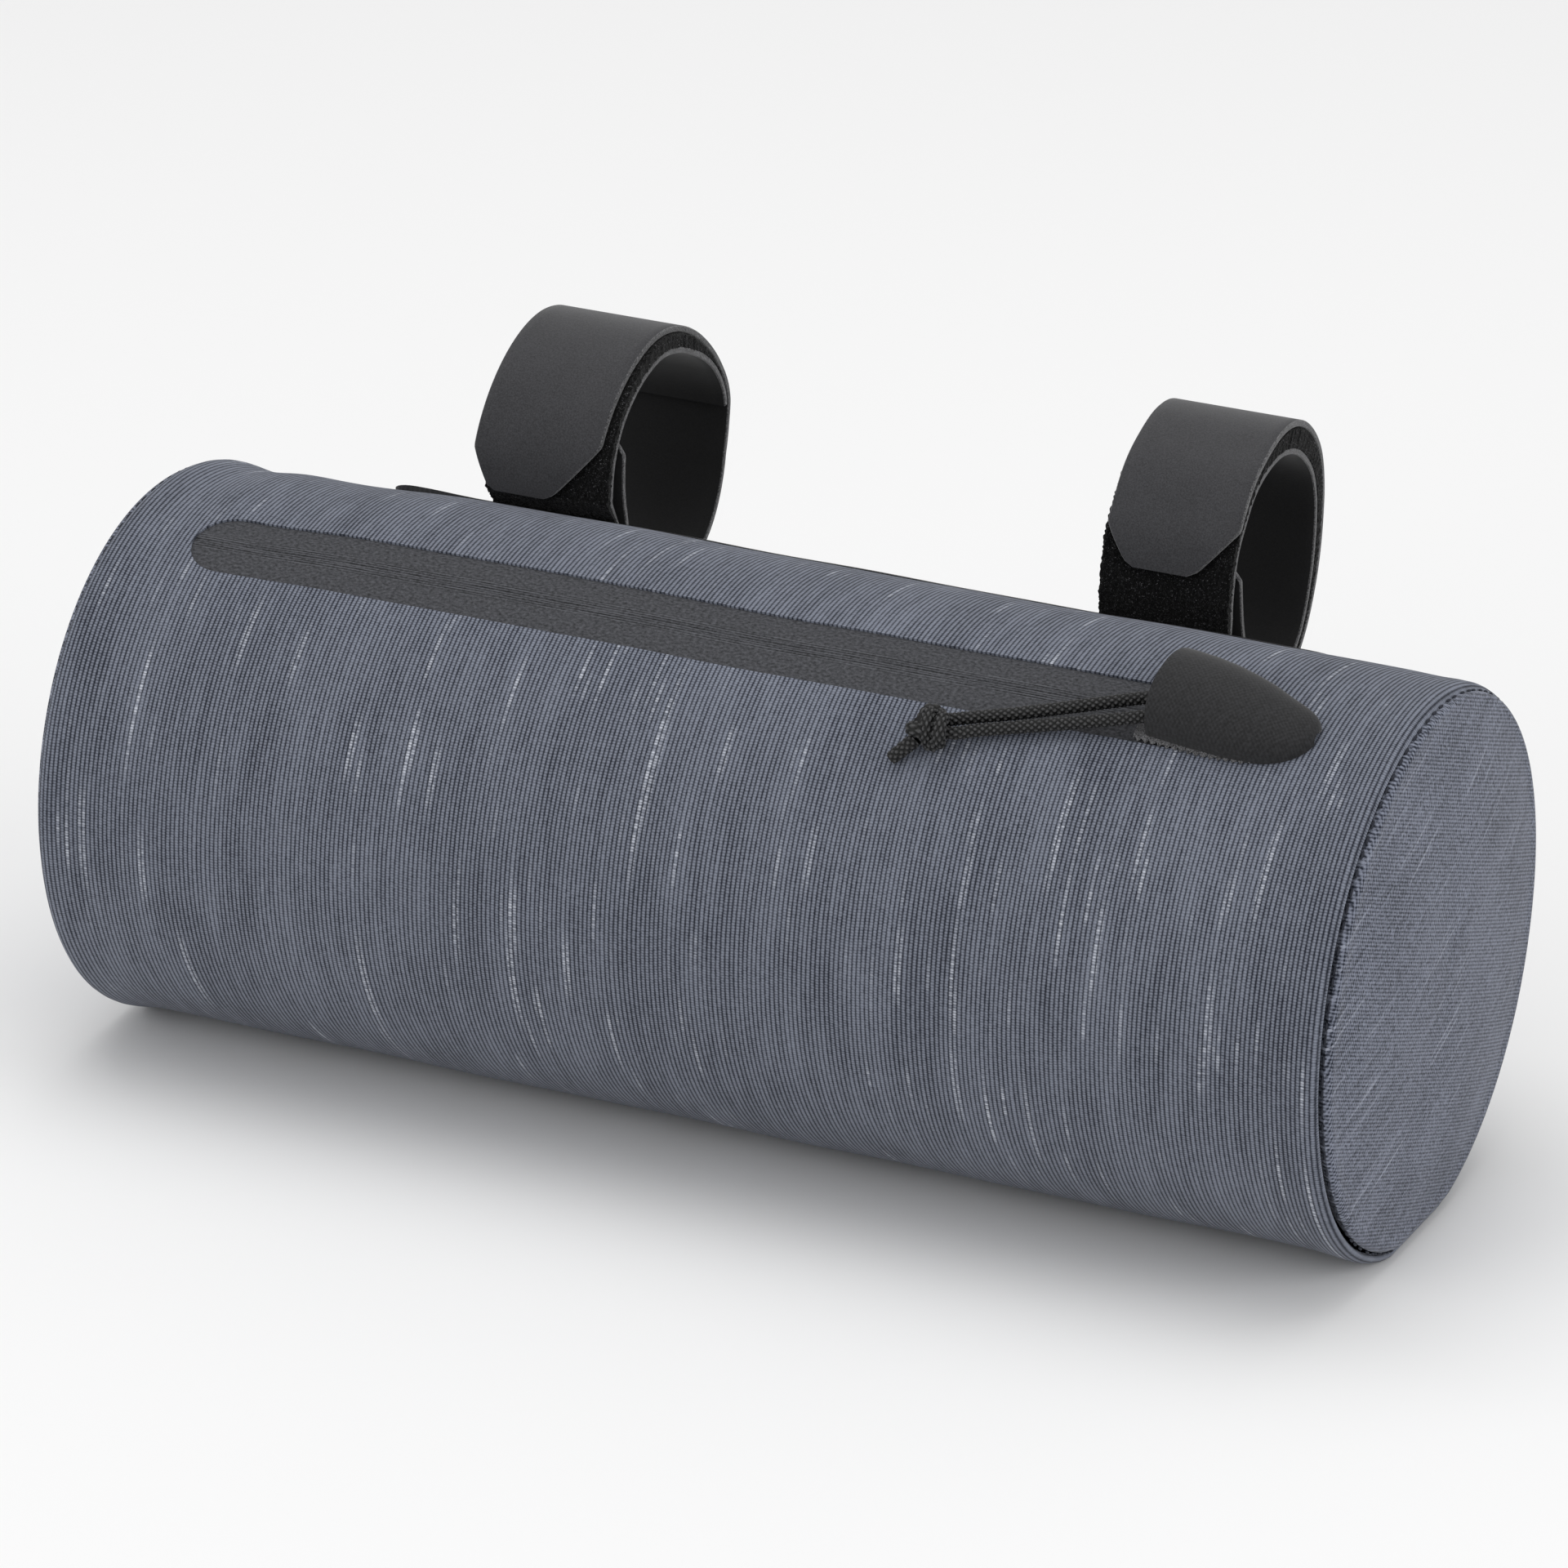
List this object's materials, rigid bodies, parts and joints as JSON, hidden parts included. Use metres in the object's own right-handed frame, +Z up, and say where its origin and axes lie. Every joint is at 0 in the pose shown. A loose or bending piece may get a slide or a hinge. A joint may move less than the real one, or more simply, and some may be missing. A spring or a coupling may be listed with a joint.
{
  "type": "bicycle handlebar bag",
  "caption": "Barrel-shaped bicycle handlebar bag in heathered blue-grey cloth, with a hooded curved zipper, a knotted pull cord and hook-and-loop straps on a back panel",
  "frame": {"origin": "middle of the flattened strip under the barrel that the bag rests on", "axes": "+X along the barrel, toward the zipper garage; +Y toward the back panel and the handlebar; +Z up"},
  "size_m": [0.2734, 0.14, 0.1335],
  "materials": {
    "barrel_cloth": "ribbed heathered blue-grey weave, padded",
    "cap_cloth": "plain heathered blue-grey weave",
    "zipper_tape": "coated water-resistant zipper tape",
    "slider_metal": "black, satin",
    "softshell": "charcoal softshell with raw edges",
    "cord_braid": "round braid",
    "panel_rubber": "coated cloth, matt",
    "strap_face": "hook-and-loop band, plain side",
    "strap_pile": "black loop pile"
  },
  "bodies": {
    "root": {"barrel": "barrel_cloth", "end_cap_left": "cap_cloth", "end_cap_right": "cap_cloth", "zipper_tape_lower": "zipper_tape", "zipper_tape_upper": "zipper_tape", "zipper_slider": "slider_metal", "zipper_garage": "softshell", "pull_cord_upper": "cord_braid", "pull_cord_lower": "cord_braid", "pull_knot": "cord_braid", "back_panel": "panel_rubber", "strap_left_hook_band": "strap_face", "strap_left_pile_band": "strap_pile", "strap_left_tab": "strap_face", "strap_right_hook_band": "strap_face", "strap_right_pile_band": "strap_pile", "strap_right_tab": "strap_face"}
  },
  "joints": []
}
